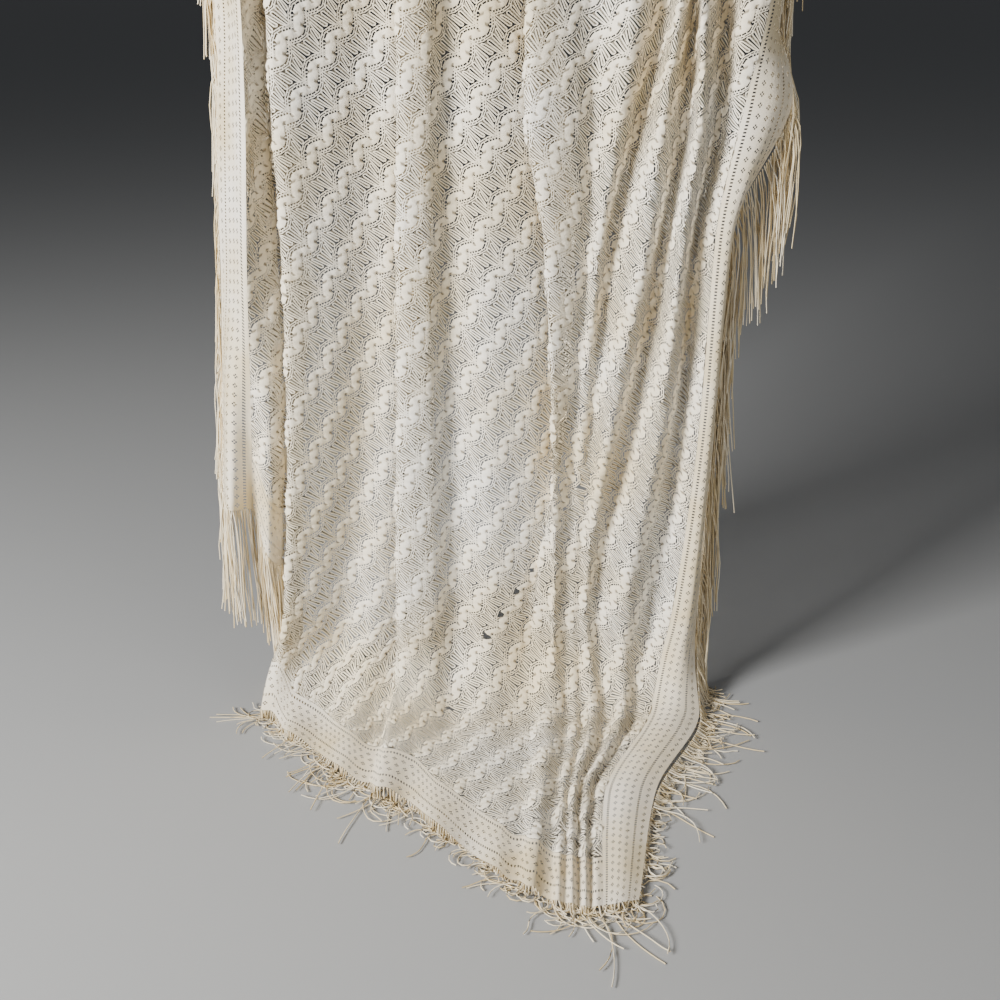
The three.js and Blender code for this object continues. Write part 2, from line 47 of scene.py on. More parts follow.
# The form of the cloth
# The turning lines of the folds, from the left edge to the right one. Each row has the place
# across (x) and the distance in front of the rod (out) at the drops of LEVELS, a turn radius
# where the cloth doubles back, and where it meets the floor and ends, or the drop of its end.
LEVELS = [525, 600, 710, 870, 1040]
FOOT = 1170
PER_FOLD, DROP_STEP = 8, 5.0                # the form's columns to a fold line, and mm to a row
FOLDS = [
    # name, x, out, turn, foot (x, height), end (hem x, y, height, or a drop), draw
    ("left_edge", (-227, -231, -238, -248, -261), (-7, -7, -7, -7, -3), 0, None, 944, 0),
    ("left_middle", (-211, -215, -222, -232, -244), (17, 19, 21, 30, 43), 0, None, 946, 0),
    ("left_seam", (-197, -199, -206, -217, -231), (45, 45, 43, 23, 3), 0, None, 955, 0),
    ("strip_crest", (-193, -195, -198, -202, -211), (25, 25, 27, 31, 35), 0, None, 992, 0),
    ("strip_turn", (-187, -188, -187, -191, -203), (13, 13, 13, 13, 13), 3, None, 1008, 0),
    ("tuck_left", (-204, -204, -202, -204, -213), (0, 0, 0, 0, 0), 3, None, 1050, 0),
    ("tuck_right", (-174, -170, -160, -176, -186), (-8, -8, -8, -8, -8), 3, None, 1118, 0),
    ("panel_fold", (-180, -181, -180, -184, -197), (31, 31, 31, 33, 37), 4, (-217, 9), (-213, -68, 3), 0),
    ("panel_swell", (-138, -141, -144, -153, -175), (23, 23, 23, 25, 29), 0, (-196, 9), (-194, -100, 8), 0),
    ("shade_valley", (-99, -101, -104, -112, -140), (5, 5, 5, 3, 5), 0, (-163, 3), (-167, -121, 2), 0),
    ("shade_lip", (-85, -87, -92, -99, -116), (6, 6, 6, 6, 9), 0, (-132, 9), (-136, -161, 9), 0),
    ("bright_back", (-55, -56, -57, -59, -63), (-4, -4, -4, -4, -3), 3, (-108, 3), (-114, -176, 4), 0),
    ("bright_front", (-80, -82, -86, -90, -95), (26, 26, 26, 28, 30), 3, (-96, 17), (-100, -197, 14), 0),
    ("bright_end", (-57, -59, -61, -62, -62), (29, 29, 29, 31, 31), 0, (-69, 15), (-78, -202, 5), 0),
    ("bright_side", (-42, -44, -45, -46, -45), (11, 11, 11, 11, 13), 0, (-46, 5), (-56, -238, 12), 0),
    ("middle_swell", (-14, -13, -12, -10, -7), (19, 19, 19, 21, 23), 0, (-12, 12), (-24, -270, 3), 0),
    ("middle_valley", (11, 15, 24, 26, 20), (11, 11, 11, 11, 15), 0, (13, 5), (-2, -296, 8), 0),
    ("ridge_back", (46, 56, 64, 59, 32), (-4, -4, -3, 3, 13), 3, (27, 4), (11, -307, 5), 0),
    ("ridge_front", (20, 19, 36, 45, 49), (25, 26, 26, 26, 26), 3, (44, 14), (23, -320, 10), 0),
    ("ridge_end", (50, 61, 65, 59, 57), (21, 21, 19, 19, 21), 0, (55, 11), (31, -323, 4), 0.05),
    ("crease_one", (74, 75, 74, 66, 63), (9, 9, 11, 13, 19), 0, (62, 6), (38, -327, 3), 0.1),
    ("swell_one", (105, 98, 82, 73, 68), (23, 23, 21, 17, 20), 0, (69, 8), (43, -335, 9), 0.15),
    ("beige_valley", (130, 118, 93, 81, 73), (-3, -3, 1, 11, 19), 0, (77, 4), (48, -333, 5), 0.2),
    ("slant_ridge", (139, 130, 121, 95, 78), (31, 31, 31, 29, 23), 0, (86, 12), (53, -338, 9), 0.25),
    ("slant_valley", (155, 152, 138, 117, 88), (-1, -1, 1, 3, 11), 0, (98, 3), (58, -334, 3), 0.3),
    ("side_ridge", (156, 158, 149, 138, 115), (35, 35, 35, 33, 29), 0, (114, 14), (63, -340, 8), 0.32),
    ("side_valley", (181, 182, 167, 162, 146), (-3, -3, -1, 1, 5), 0, (126, 4), (67, -335, 3), 0.33),
    ("side_swell", (190, 188, 171, 166, 153), (29, 17, 13, 13, 14), 0, (132, 8), (71, -339, 7), 0.33),
    ("right_seam", (209, 196, 178, 174, 161), (25, 20, 23, 23, 21), 0, (140, 10), (76, -337, 6), 0.33),
    ("right_middle", (221, 214, 187, 181, 173), (7, 19, 27, 27, 29), 0, (163, 15), (90, -336, 8), 0.27),
    ("right_edge", (222, 238, 196, 191, 188), (-21, -1, -7, -11, -5), 0, (186, 7), (104, -328, 4), 0.17),
]
ROD_RADIUS_MM, FLOOR_DROP_MM, CUT_LENGTH_MM, BORDER_MM = 14.0, 1150.0, 1570.0, 56.0
WRAP_MM = ROD_RADIUS_MM + 0.65 + 1.0        # radius of the middle of the cloth on the rod
QUARTER_MM = WRAP_MM * math.pi / 2
BEND_MM = 72.0
BEND_START = FLOOR_DROP_MM - 1.05 - BEND_MM
BEND_END = BEND_START + BEND_MM * math.pi / 2
rails = []
for i, (name, x, out, turn, foot, end, draw) in enumerate(FOLDS):
    if not turn:
        rails.append((name, x, out, foot, end, draw))
        continue
    onward = np.sign(FOLDS[i + 1][2][0] - FOLDS[i - 1][2][0])
    for side in (-1, 1):
        moved = [value + side * onward * turn for value in out]
        at_foot = foot and (foot[0] + side * turn, foot[1])
        at_end = end if np.isscalar(end) else (end[0] + side * turn / 2, end[1], end[2])
        rails.append((name, x, moved, at_foot, at_end, draw))
LAST = len(rails) - 1
names = [rail[0] for rail in rails]
LEFT_SEAM, RIGHT_SEAM = names.index("left_seam"), names.index("right_seam")
cut_mm = np.concatenate([[0], np.cumsum([
    math.hypot(b[1][0] - a[1][0], b[2][0] - a[2][0]) for a, b in zip(rails, rails[1:])])])


def along(stops, values, at):
    """A smooth value along a short table that never swings past its own entries."""
    stops, values = np.asarray(stops, float), np.asarray(values, float)
    span = np.diff(stops)
    slope = np.diff(values) / span
    product = slope[:-1] * slope[1:]
    total = np.where(product > 0, slope[:-1] + slope[1:], 1)
    inner = np.where(product > 0, 2 * product / total, 0)
    tangent = np.concatenate([[slope[0]], inner, [slope[-1]]])
    inside = np.clip(at, stops[0], stops[-1])
    i = np.clip(np.searchsorted(stops, inside) - 1, 0, len(span) - 1)
    t = (inside - stops[i]) / span[i]
    value = ((2 * t**3 - 3 * t**2 + 1) * values[i] + (t**3 - 2 * t**2 + t) * span[i] * tangent[i]
             + (3 * t**2 - 2 * t**3) * values[i + 1] + (t**3 - t**2) * span[i] * tangent[i + 1])
    return value + np.maximum(at - stops[-1], 0) * slope[-1]


def across(points, q):
    """A curve through points, an array of them by number, at the numbers q."""
    steps = np.diff(points, axis=0)
    lengths = np.maximum(np.linalg.norm(steps, axis=-1, keepdims=True), 1e-9)
    tangents = np.concatenate([
        steps[:1] / lengths[:1],
        (steps[:-1] * lengths[1:] / lengths[:-1] + steps[1:] * lengths[:-1] / lengths[1:])
        / (lengths[:-1] + lengths[1:]),
        steps[-1:] / lengths[-1:]])
    i = np.clip(np.floor(q).astype(int), 0, len(points) - 2)
    t = (q - i).reshape((-1,) + (1,) * (points.ndim - 1))
    return ((2 * t**3 - 3 * t**2 + 1) * points[i] + (t**3 - 2 * t**2 + t) * lengths[i] * tangents[i]
            + (3 * t**2 - 2 * t**3) * points[i + 1] + (t**3 - t**2) * lengths[i] * tangents[i + 1])


out_on_rod = [rail[2][0] for rail in rails]
lowest, highest = min(out_on_rod[:-1]), max(out_on_rod)
Q = np.linspace(0, LAST, LAST * PER_FOLD + 1)
DROPS = np.arange(-650.0, 1450.0, DROP_STEP)
back_mm = np.maximum(-DROPS - 2 * QUARTER_MM, 0)
level = np.where(back_mm > 0, back_mm, np.maximum(DROPS, 0))
table, ends = [], []
for i, (name, x, out, foot, end, draw) in enumerate(rails):
    stops, xs = [0, *LEVELS], [(cut_mm[i] / cut_mm[-1] - 0.5) * 560, *x]
    outs = [max(0, (out[0] - lowest) / (highest - lowest)) * 18, *out]
    drop = end if np.isscalar(end) else BEND_END - WRAP_MM - BEND_MM - end[1]
    if foot:
        stop, drawn = max(drop, FOOT + 12), 0.5 + draw
        stops = [*stops, FOOT, (FOOT + stop) / 2, stop]
        xs = [*xs, foot[0], foot[0] + drawn * (end[0] - foot[0]), end[0]]
        outs = [*outs, foot[1], (foot[1] + end[2]) / 2, end[2]]
    table.append(np.stack([along(stops, xs, level), along(stops, outs, level)], axis=-1))
    ends.append((cut_mm[i], drop))
section = across(np.array(table), Q)                      # columns, drops, (x, out)
hem_drop = across(np.array(ends), Q)[:, 1]
top_drop = hem_drop - CUT_LENGTH_MM
lift = 12 * np.minimum(back_mm / LEVELS[0], 1)
out = np.where(level < ROD_RADIUS_MM, np.maximum(section[..., 1], 0), section[..., 1] + lift)
round_rod = np.clip(-DROPS / WRAP_MM, 0, math.pi)
round_bend = np.clip((DROPS - BEND_START) / BEND_MM, 0, math.pi / 2)
falling = DROPS >= 0
path_y = np.where(falling, -WRAP_MM - BEND_MM * (1 - np.cos(round_bend)) - np.maximum(DROPS - BEND_END, 0),
                  -WRAP_MM * np.cos(round_rod))
path_z = np.where(falling, -np.minimum(DROPS, BEND_START) - BEND_MM * np.sin(round_bend),
                  WRAP_MM * np.sin(round_rod) - back_mm)
normal_y = np.where(falling, -np.cos(round_bend), -np.cos(round_rod))
normal_z = np.where(falling, np.sin(round_bend), np.sin(round_rod))
surface = np.stack([section[..., 0], path_y + out * normal_y, path_z + out * normal_z], axis=-1)
surface = surface.transpose(1, 0, 2)                      # drops, columns, xyz, in mm
facing = np.cross(np.gradient(surface, axis=1), np.gradient(surface, axis=0))
facing /= np.linalg.norm(facing, axis=-1, keepdims=True)
if (facing[150, :, 1] > 0).mean() > 0.5:
    facing = -facing
arc = np.concatenate([np.zeros((len(DROPS), 1)), np.cumsum(
    np.linalg.norm(np.diff(surface, axis=1), axis=-1), axis=1)], axis=1)
arc -= arc[:, [names.index("bright_end") * PER_FOLD]]
# Low on the left the folds open out, so the pattern keeps its lines there and closes up a little.
low, fold_column = DROPS > LEVELS[-1], names.index("panel_fold") * PER_FOLD
kept = arc[~low][-1, fold_column] / arc[low][:, [fold_column]]
arc[low] = np.where(arc[low] < 0, arc[low] * kept, arc[low])
# The true length down each column, evened out across its neighbours.
fall = np.concatenate([np.zeros((1, len(Q))), np.cumsum(
    np.linalg.norm(np.diff(surface, axis=0), axis=-1), axis=0)])
fall -= fall[DROPS == 0]
wide = np.pad(fall, ((0, 0), (12, 12)), mode="edge")
fall = np.mean([wide[:, k:k + len(Q)] for k in range(25)], axis=0)


def grid_value(grid, q, drop):
    """The values of a grid of drops and columns at the columns q and drops drop."""
    c = np.clip(q * PER_FOLD, 0, len(Q) - 1.001)
    r = np.clip((drop - DROPS[0]) / DROP_STEP, 0, len(DROPS) - 1.001)
    ci, ri = c.astype(int), r.astype(int)
    cf, rf = (c - ci)[:, None], (r - ri)[:, None]
    grid = grid.reshape(len(DROPS), len(Q), -1)
    return ((grid[ri, ci] * (1 - cf) + grid[ri, ci + 1] * cf) * (1 - rf)
            + (grid[ri + 1, ci] * (1 - cf) + grid[ri + 1, ci + 1] * cf) * rf)


def column_at(s, drop):
    """The columns at the lengths s across the cloth, on the sections at those drops."""
    r = np.clip((drop - DROPS[0]) / DROP_STEP, 0, len(DROPS) - 1.001)
    ri = r.astype(int)
    order = np.argsort(ri, kind="stable")
    bounds = np.searchsorted(ri[order], np.arange(len(DROPS) + 1))
    q = np.empty(len(s))
    for row in range(len(DROPS) - 1):
        chosen = order[bounds[row]:bounds[row + 1]]
        if len(chosen):
            low = np.interp(s[chosen], arc[row], Q)
            high = np.interp(s[chosen], arc[row + 1], Q)
            q[chosen] = low + (r[chosen] - row) * (high - low)
    return q


def place(q, drop, raised=0.0):
    """Points in metres at columns q and drops drop, raised mm off the middle of the cloth."""
    n = grid_value(facing, q, drop)
    n /= np.linalg.norm(n, axis=1, keepdims=True)
    return (grid_value(surface, q, drop) + n * np.reshape(raised, (-1, 1))) / 1000


def mesh_piece(name, points, faces, uv, material):
    """A smooth mesh with a UV for each of its points, riding the frame's root."""
    mesh = bpy.data.meshes.new(name)
    faces = np.asarray(faces, np.int32)
    sides = faces.shape[1]
    mesh.vertices.add(len(points))
    mesh.vertices.foreach_set("co", np.asarray(points, np.float32).ravel())
    mesh.loops.add(faces.size)
    mesh.loops.foreach_set("vertex_index", faces.ravel())
    mesh.polygons.add(len(faces))
    mesh.polygons.foreach_set("loop_start", np.arange(len(faces), dtype=np.int32) * sides)
    mesh.polygons.foreach_set("loop_total", np.full(len(faces), sides, np.int32))
    mesh.polygons.foreach_set("use_smooth", np.full(len(faces), True))
    layer = mesh.uv_layers.new(name="UVMap")
    layer.data.foreach_set("uv", np.asarray(uv, np.float32)[faces.ravel()].ravel())
    mesh.update()
    mesh.validate()
    mesh.materials.append(material)
    piece = bpy.data.objects.new(name, mesh)
    bpy.context.scene.collection.objects.link(piece)
    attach(piece, "root")
    return piece


# The rod
# A turned beech dowel. It keeps its CAD solid, with fine grain along its length.
def linear(hex_colour):
    """An sRGB colour, such as "#E8DCC0", as linear RGBA."""
    parts = [int(hex_colour[i:i + 2], 16) / 255 for i in (1, 3, 5)]
    return [p / 12.92 if p <= 0.04045 else ((p + 0.055) / 1.055) ** 2.4 for p in parts] + [1.0]


def new_material(name):
    """A node material, its tree and its Principled node."""
    material = bpy.data.materials.new(name)
    material.use_nodes = True
    return material, material.node_tree, material.node_tree.nodes["Principled BSDF"]


def node(tree, kind, links=(), **values):
    """Adds a node. values are attributes or inputs by name, and links are (input, socket)."""
    added = tree.nodes.new(kind)
    for key, value in values.items():
        if hasattr(added, key):
            setattr(added, key, value)
        else:
            added.inputs[key.replace("_", " ")].default_value = value
    for key, socket in links:
        tree.links.new(socket, added.inputs[key])
    return added


def ramp(tree, socket, stops):
    """A colour ramp on socket. stops are (position, hex colour)."""
    added = node(tree, "ShaderNodeValToRGB", [("Fac", socket)])
    elements = added.color_ramp.elements
    while len(elements) < len(stops):
        elements.new(0.5)
    for element, (position, colour) in zip(elements, stops):
        element.position = position
        element.color = linear(colour)
    return added.outputs["Color"]


beech, tree, shader = new_material("beech")
place_on = node(tree, "ShaderNodeTexCoord").outputs["Object"]
stretch = node(tree, "ShaderNodeMapping", [("Vector", place_on)])
stretch.inputs["Scale"].default_value = (14, 300, 300)
grain = node(tree, "ShaderNodeTexNoise", [("Vector", stretch.outputs["Vector"])], Scale=1.0, Detail=6.0)
tree.links.new(ramp(tree, grain.outputs["Fac"], [(0.3, "#9C6B3C"), (0.55, "#C3925E"), (0.75, "#D3A876")]),
               shader.inputs["Base Color"])
shader.inputs["Roughness"].default_value = 0.42
bump = node(tree, "ShaderNodeBump", [("Height", grain.outputs["Fac"])], Strength=0.15, Distance=0.0004)
tree.links.new(bump.outputs["Normal"], shader.inputs["Normal"])
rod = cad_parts["rod"]
rod.data.materials.clear()
rod.data.materials.append(beech)


# The lace panel
# Machine-made tape lace in rayon. A ruffled tape runs in steps from lower left to upper right,
# with two rows of small holes along its edges, and a ground of fine cord in slanting hairpins
# joins it to the next one. It is drawn flat, in mm across and down, and laid on the folds.
STEP = np.array([15.2, -21.0])              # one step of the tape: across, and down
PITCH = 40.0                                # from one tape to the next, across
PHASE = np.array([33.0, 790.3])             # the middle of one of the tape's upright runs
UPRIGHT_HALF, LEVEL_HALF = 4.3, 3.4         # the tape's half widths on its two runs
CORD_HALF = 0.5
ROWS_OFF = (2.0, 3.8)                       # cords of the two rows of holes, off the tape's edge
BARS = 13                                   # bars a step in each row
TAPE_SWING = math.radians(38.5)             # how far its runs turn off the steps' own line
PINCH = 0.34                                # share of its half width that a crease takes
heading = math.atan2(-STEP[1], STEP[0])
fine = np.linspace(0, 1, 241)


def squareness(t):
    """1 on the tape's upright runs and -1 on its level ones."""
    return np.tanh(3 * np.cos(2 * math.pi * t)) / math.tanh(3)


angle = heading + TAPE_SWING * squareness(fine)
turns = np.stack([np.cos(angle), -np.sin(angle)], axis=-1)
walked = np.concatenate([[[0, 0]], np.cumsum((turns[1:] + turns[:-1]) / 2, axis=0)]) / 240
walked *= np.linalg.norm(STEP) / np.linalg.norm(walked[-1])


def tape_at(t):
    """The middle of the tape after t steps, its right-hand side there, and its half width."""
    whole = np.floor(t)
    at = np.stack([np.interp(t - whole, fine, walked[:, k]) for k in (0, 1)], axis=-1)
    direction = heading + TAPE_SWING * squareness(t)
    side = np.stack([np.sin(direction), np.cos(direction)], axis=-1)
    half = LEVEL_HALF + (UPRIGHT_HALF - LEVEL_HALF) * (0.5 + 0.5 * squareness(t))
    return at + whole[:, None] * STEP, side, half[:, None]


unit = []


def add_lines(lines, half, raised, mark=3.0):
    """Adds flat strips along lines, an array (line, point, 2), to the pattern's unit."""
    lines = np.asarray(lines, float)
    ahead = np.gradient(lines, axis=1)
    ahead /= np.maximum(np.linalg.norm(ahead, axis=-1, keepdims=True), 1e-9)
    side = np.stack([-ahead[..., 1], ahead[..., 0]], axis=-1) * half
    both = np.stack([lines - side, lines + side], axis=2)
    count, length = lines.shape[:2]
    base = (np.arange(count)[:, None] * length + np.arange(length - 1)) * 2
    quads = np.stack([base, base + 1, base + 3, base + 2], axis=-1).reshape(-1, 4)
    points = both.reshape(-1, 2)
    uv = np.stack([np.full(len(points), 0.5), np.full(len(points), mark)], axis=-1)
    unit.append((points, np.full(len(points), raised), quads, uv))


# The tape: creases pinch its two edges in turn, two a step on each side.
t = np.arange(17) / 16
middle, side, half = tape_at(t)
v = np.array([-1.0, 0.0, 1.0])
pinch = np.stack([np.isin(t * 8, (1, 5)), np.zeros(len(t)), np.isin(t * 8, (3, 7))], axis=-1) * PINCH
tape_points = middle[:, None] + side[:, None] * (v * half * (1 - pinch))[..., None]
creased = np.isin(t * 8, (1, 3, 5, 7))[:, None]
tape_raised = np.where(v == 0, 1.7 - 1.1 * creased, 0.5 - 0.7 * pinch / PINCH)
base = np.arange(16)[:, None] * 3 + np.arange(2)
unit.append((tape_points.reshape(-1, 2), tape_raised.ravel(),
             np.stack([base, base + 1, base + 4, base + 3], axis=-1).reshape(-1, 4),
             np.stack(np.broadcast_arrays(t[:, None], v), axis=-1).reshape(-1, 2)))

# The two rows of holes along each edge of the tape.
sparse = np.arange(13) / 12
for hand in (-1, 1):
    inner = 0.5
    for row, off in enumerate(ROWS_OFF):
        at, way, reach = tape_at(sparse)
        add_lines([at + way * hand * (reach + off)], 0.4, 0.1)
        root, way, reach = tape_at((np.arange(BARS) + 0.5 * (row + 1)) / BARS)
        add_lines(np.stack([root + way * hand * (reach - inner), root + way * hand * (reach + off)], axis=1),
                  0.42, 0.2)
        inner = -off

# The ground: hairpins in two fans a step, one opening to each side. A row of the table is how
# far a stroke stays short of the hole rows at its left and right ends. FAN_AT has the middles
# of the two fans along a step, at the strokes' left and right ends.
SHORT = [(2.0, 0.6), (0.8, 0.2), (0.2, 0.2), (0.2, 0.6), (0.6, 1.4), (1.6, 2.0),
         (2.0, 1.6), (1.4, 0.6), (0.6, 0.2), (0.2, 0.2), (0.2, 0.8), (0.6, 2.0)]
FAN = (1.72, 2.6)                           # stroke spacing at a fan's closed and open ends
FAN_AT = ((5.2, 18.2), (7.8, 20.8))
SHEAR = -0.21 * 17                          # how far the strokes lean over the ground's 17 mm
# Half width and depth of the dark gauze strips, painted shade for the hairpins' openings.
GAUZE_SHADE_HALF, GAUZE_SHADE_RAISED = 0.95, -0.35
ahead = STEP / np.linalg.norm(STEP)
over = np.array([-ahead[1], ahead[0]])
reach_over, shift = PITCH * over[0], PITCH * ahead[0]
step_length = np.linalg.norm(STEP)
walk_at, walk_side, walk_half = tape_at(np.linspace(-1, 3, 801))


def edge_over(way, a):
    """How far across the band the outer cord on that side of a tape lies, at a along it."""
    line = walk_at + walk_side * way * (walk_half + ROWS_OFF[1])
    nearest = np.abs((line @ ahead)[:, None] - a).argmin(axis=0)
    return (line @ over)[nearest]


k = np.arange(6) - 2.5
a_near = np.concatenate([k * FAN[0] + FAN_AT[0][0], k * FAN[1] + FAN_AT[0][1]])
a_far = np.concatenate([k * FAN[1] + FAN_AT[1][0], k * FAN[0] + FAN_AT[1][1]]) + SHEAR
short = np.array(SHORT)
near = edge_over(1, np.mod(a_near, step_length)) + short[:, 0]
far = reach_over + edge_over(-1, np.mod(a_far - shift, step_length)) - short[:, 1]


def on_stroke(i, share, inward=0.0):
    """A point of stroke i, at a share of its length from its left end."""
    return ((a_near[i] + (a_far[i] - a_near[i]) * share) * ahead
            + (near[i] + (far[i] - near[i]) * share + inward) * over)


strokes, turned, gauze_shade_strips = [], [], []
for i in range(len(SHORT)):
    if i % 2 == 0:
        gauze_shade_strips.append([(on_stroke(i, share) + on_stroke(i + 1, share)) / 2 for share in (0, 0.5, 0.98)])
    strokes.append([on_stroke(i, 0, 0.9), on_stroke(i, 0.5), on_stroke(i, 1, -0.9)])
    end = 1 - i % 2
    inward = 0.9 - 1.8 * end
    start, stop = on_stroke(i, end), on_stroke((i + 1) % len(SHORT), end)
    if i == len(SHORT) - 1:
        stop = stop + STEP
    turned.append([start + inward * over, (start + stop) / 2, stop + inward * over])
add_lines(strokes, CORD_HALF, 0.0)
add_lines(turned, CORD_HALF, 0.0)
# Dark gauze strips inside the hairpins, painted shade for their openings.
add_lines(gauze_shade_strips, GAUZE_SHADE_HALF, GAUZE_SHADE_RAISED, 5.0)

sizes = np.cumsum([0] + [len(points) for points, *_ in unit])
unit_points = np.concatenate([points for points, *_ in unit])
unit_raised = np.concatenate([heights for _, heights, *_ in unit])
unit_quads = np.concatenate([quads + size for (_, _, quads, _), size in zip(unit, sizes)])
unit_uv = np.concatenate([uv for *_, uv in unit])

# Off-white rayon, warmer in patches with age. The tape's creases get painted shade, dark lines
# drawn by its UV, whose u runs along it in steps and whose v is -1 and 1 at its edges, 3 on cords
# and 5 on the thin gauze inside the hairpins, whose dark colour is painted shade for their
# openings. The shift below moves the painted crease shade along the tape.
CREASE_SHADE_SHIFT = 1.68
lace_material, tree, shader = new_material("rayon tape lace")
place_on = node(tree, "ShaderNodeTexCoord")
uv = node(tree, "ShaderNodeSeparateXYZ", [("Vector", place_on.outputs["UV"])])


def maths(operation, *values):
    """A Math node. values are numbers or sockets."""
    added = node(tree, "ShaderNodeMath", operation=operation)
    for i, value in enumerate(values):
        if isinstance(value, (int, float)):
            added.inputs[i].default_value = value
        else:
            tree.links.new(value, added.inputs[i])
    return added.outputs[0]


u, v_out = uv.outputs["X"], uv.outputs["Y"]
aside = maths("ABSOLUTE", v_out)
turn_at = maths("ADD", maths("MULTIPLY", u, 2.0), maths("MULTIPLY", maths("GREATER_THAN", v_out, 0.0), -0.5))
slant = maths("ADD", turn_at, maths("MULTIPLY", aside, 0.10))
away_from = maths("PINGPONG", maths("ADD", slant, CREASE_SHADE_SHIFT), 0.5)
line = node(tree, "ShaderNodeMapRange", [("Value", away_from)],
            From_Min=0.03, From_Max=0.12, To_Min=1.0, To_Max=0.0)
crease_shade_line = maths("MULTIPLY", line.outputs[0], maths("LESS_THAN", aside, 2.0))
crease_shade_mask = maths("MULTIPLY", crease_shade_line, maths("GREATER_THAN", aside, 0.1))
patches = node(tree, "ShaderNodeTexNoise", [("Vector", place_on.outputs["Object"])], Scale=9.0, Detail=4.0)
dimples = node(tree, "ShaderNodeTexNoise", [("Vector", place_on.outputs["Object"])], Scale=330.0, Detail=2.0)
cloth_colour = ramp(tree, patches.outputs["Fac"], [(0.32, "#E8D7B2"), (0.5, "#F4E8CF"), (0.68, "#FAF4E6")])
# Painted shade in the tape's creases: a dark brown mixed into its colour along the crease lines.
crease_shade_mix = node(tree, "ShaderNodeMix", data_type="RGBA")
tree.links.new(maths("MULTIPLY", crease_shade_mask, 0.8), crease_shade_mix.inputs[0])
tree.links.new(cloth_colour, crease_shade_mix.inputs[6])
crease_shade_mix.inputs[7].default_value = linear("#6B5C42")
# The gauze inside the hairpins is coloured dark grey-brown, painted shade for the openings between the cords.
threads = node(tree, "ShaderNodeTexNoise", [("Vector", place_on.outputs["Object"])], Scale=900.0, Detail=1.0)
gauze_shade_colour = ramp(tree, threads.outputs["Fac"], [(0.4, "#453F34"), (0.6, "#9A907B")])
gauze_shade_mix = node(tree, "ShaderNodeMix", data_type="RGBA")
tree.links.new(maths("GREATER_THAN", aside, 4.0), gauze_shade_mix.inputs[0])
tree.links.new(crease_shade_mix.outputs[2], gauze_shade_mix.inputs[6])
tree.links.new(gauze_shade_colour, gauze_shade_mix.inputs[7])
tree.links.new(gauze_shade_mix.outputs[2], shader.inputs["Base Color"])
shader.inputs["Roughness"].default_value = 0.7
relief = node(tree, "ShaderNodeBump", [("Height", dimples.outputs["Fac"])], Strength=0.5, Distance=0.0006)
tree.links.new(relief.outputs["Normal"], shader.inputs["Normal"])

# Small holes worn along one slanting line of the front, as (across, down) in mm. These places
# came out of a scratch program, which laid points marked on the photo onto the flat cloth.
WORN = [(204.6, 913.4), (185, 932.4), (162.9, 951.8), (104.1, 1017.3), (86.4, 1036.4), (71.7, 1055.8),
        (59.6, 1079.8), (43.4, 1103.2), (22.2, 1147)]
WORN_MM = 1.5
SPREAD_MM = (-440, 620)                     # where tape is laid, across from the bright_end line
HIGH_DROP, LOW_DROP, LAST_DROP = 370.0, 740.0, 1400.0


def lace_piece(name, first, last, limits):
    """The lace between two drops. limits(q) gives the drops of its upper and lower seams."""
    starts = []
    for k in range(int((last - PHASE[1]) / STEP[1]) - 2, int((first - PHASE[1]) / STEP[1]) + 3):
        for j in range(-60, 60):
            s = PHASE[0] + j * PITCH + k * STEP[0]
            if SPREAD_MM[0] < s < SPREAD_MM[1]:
                starts.append((s, PHASE[1] + k * STEP[1]))
    starts = np.array(starts)
    flat = (starts[:, None] + unit_points).reshape(-1, 2)
    s, drop = flat[:, 0], flat[:, 1]
    for _ in range(4):
        q = column_at(s, drop)
        drop = drop + flat[:, 1] - grid_value(fall, q, drop)[:, 0]
    upper, lower = limits(q)
    inside = (q > LEFT_SEAM) & (q < RIGHT_SEAM) & (drop > upper) & (drop < lower)
    worn = (np.linalg.norm(flat[:, None] - np.array(WORN), axis=-1) < WORN_MM).any(axis=1)
    q = np.clip(q, LEFT_SEAM, RIGHT_SEAM)
    drop = np.clip(drop, upper, lower)
    quads = (np.arange(len(starts))[:, None, None] * len(unit_points) + unit_quads).reshape(-1, 4)
    quads = quads[inside[quads].any(axis=1) & ~worn[quads].any(axis=1)]
    used, quads = np.unique(quads, return_inverse=True)
    raised = np.tile(unit_raised, len(starts))[used]
    uv = np.tile(unit_uv, (len(starts), 1))[used]
    return mesh_piece(name, place(q[used], drop[used], raised), quads.reshape(-1, 4), uv, lace_material)


def front_limits(low, high):
    """Limits for a front piece between two drops, or down to the hem's seam."""
    return lambda q: (np.full(len(q), low), np.minimum(high, np.interp(q, Q, hem_drop) - BORDER_MM))


def back_limits(q):
    """Limits for the back flap, from its hem's seam up to the top of the rod."""
    return np.interp(q, Q, top_drop) + BORDER_MM, np.full(len(q), -QUARTER_MM)


def width_at(drop):
    """The cloth's length from seam to seam along the section at a drop, in metres."""
    row = arc[np.abs(DROPS - drop).argmin()]
    return (row[RIGHT_SEAM * PER_FOLD] - row[LEFT_SEAM * PER_FOLD]) / 1000


# The back flap is modelled narrower than its cut, as the small crowded folds over the rod are
# left out.
inside = (Q >= LEFT_SEAM) & (Q <= RIGHT_SEAM)
low_length = (hem_drop[inside] - BORDER_MM - LOW_DROP).mean()
back_length = (-QUARTER_MM - BORDER_MM - top_drop[inside]).mean()
for name, first, last, length in (("lace_front_high", -QUARTER_MM, HIGH_DROP, HIGH_DROP + QUARTER_MM),
                                  ("lace_front_middle", HIGH_DROP, LOW_DROP, LOW_DROP - HIGH_DROP),
                                  ("lace_front_low", LOW_DROP, LAST_DROP, low_length)):
    piece = lace_piece(name, first, last, front_limits(first, last))
    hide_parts("panel_front")
lace_back = lace_piece("lace_back", -600, -QUARTER_MM, back_limits)
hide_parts("panel_back")
width_at(-QUARTER_MM - back_length / 2)


